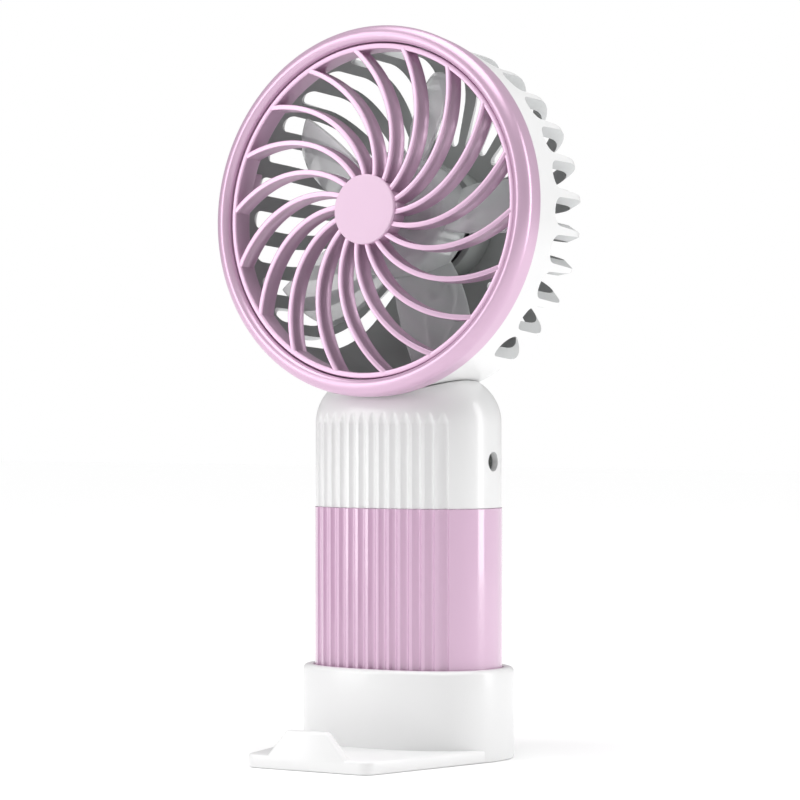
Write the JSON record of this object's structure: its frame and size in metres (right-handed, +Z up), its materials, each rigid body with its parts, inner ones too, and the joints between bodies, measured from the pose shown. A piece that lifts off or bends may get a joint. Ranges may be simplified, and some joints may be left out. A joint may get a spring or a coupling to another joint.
{
  "type": "handheld electric fan",
  "caption": "Small handheld fan with a round spiral-grille head and fluted oval grip, standing in a cup base with a phone ledge.",
  "frame": {"origin": "underside of the stand, straight below the middle of the handle", "axes": "+Z up, the fan looks along -Y, the strap hole is on the +X side"},
  "size_m": [0.0906, 0.0663, 0.1788],
  "materials": {
    "white_plastic": "satin white moulded plastic",
    "pink_satin": "pearly satin pink plastic",
    "pale_pink": "pale pink matte plastic",
    "pink_gloss": "glossy pink plastic",
    "smoky_clear": "smoky clear plastic",
    "steel": "bare steel",
    "bronze": "sintered bronze",
    "ferrite": "dark ferrite",
    "black_plastic": "black plastic",
    "circuit_board": "green solder mask",
    "cell_wrap": "silver foil wrap",
    "red_insulation": "red cable insulation",
    "led": "white lamp chip"
  },
  "bodies": {
    "stand": {"stand": "white_plastic"},
    "fan": {"trim_ring": "pink_satin", "vane_grille": "pink_satin", "hub_cap": "pale_pink", "rear_shell": "white_plastic", "motor_can": "steel", "motor_end_cap": "black_plastic", "motor_magnet": "ferrite", "front_bush": "bronze", "rear_bush": "bronze", "upper_housing": "white_plastic", "grip_sleeve": "pink_gloss", "bottom_cap": "white_plastic", "chassis": "white_plastic", "neck_retainer": "steel", "battery_cell": "cell_wrap", "circuit_board": "circuit_board", "driver_chip": "black_plastic", "tact_switch": "black_plastic", "charging_port": "steel", "indicator_led": "led", "indicator_lens": "smoky_clear", "neck_screw_left": "steel", "neck_screw_right": "steel", "chassis_screw_left": "steel", "chassis_screw_right": "steel", "board_screw_left": "steel", "board_screw_right": "steel", "base_screw_left": "steel", "base_screw_right": "steel", "motor_lead_a": "white_plastic", "motor_lead_b": "white_plastic", "cell_lead_black": "black_plastic", "cell_lead_red": "red_insulation"},
    "impeller": {"impeller": "smoky_clear", "motor_shaft": "steel", "motor_armature": "steel"},
    "power_button": {"power_button": "pale_pink", "switch_plunger": "black_plastic"}
  },
  "joints": [
    {"name": "lift_out", "type": "slide", "parent": "stand", "child": "fan", "axis": [0, 0, 1], "range_m": [0, 0.03]},
    {"name": "impeller_spin", "type": "hinge", "parent": "fan", "child": "impeller", "pos_m": [0, 0, 0.1325], "axis": [0, -0.9979, 0.0645], "continuous": true},
    {"name": "button_press", "type": "slide", "parent": "fan", "child": "power_button", "axis": [0, -1, 0], "range_m": [0, 0.0005], "stiffness_N_per_m": 400}
  ]
}
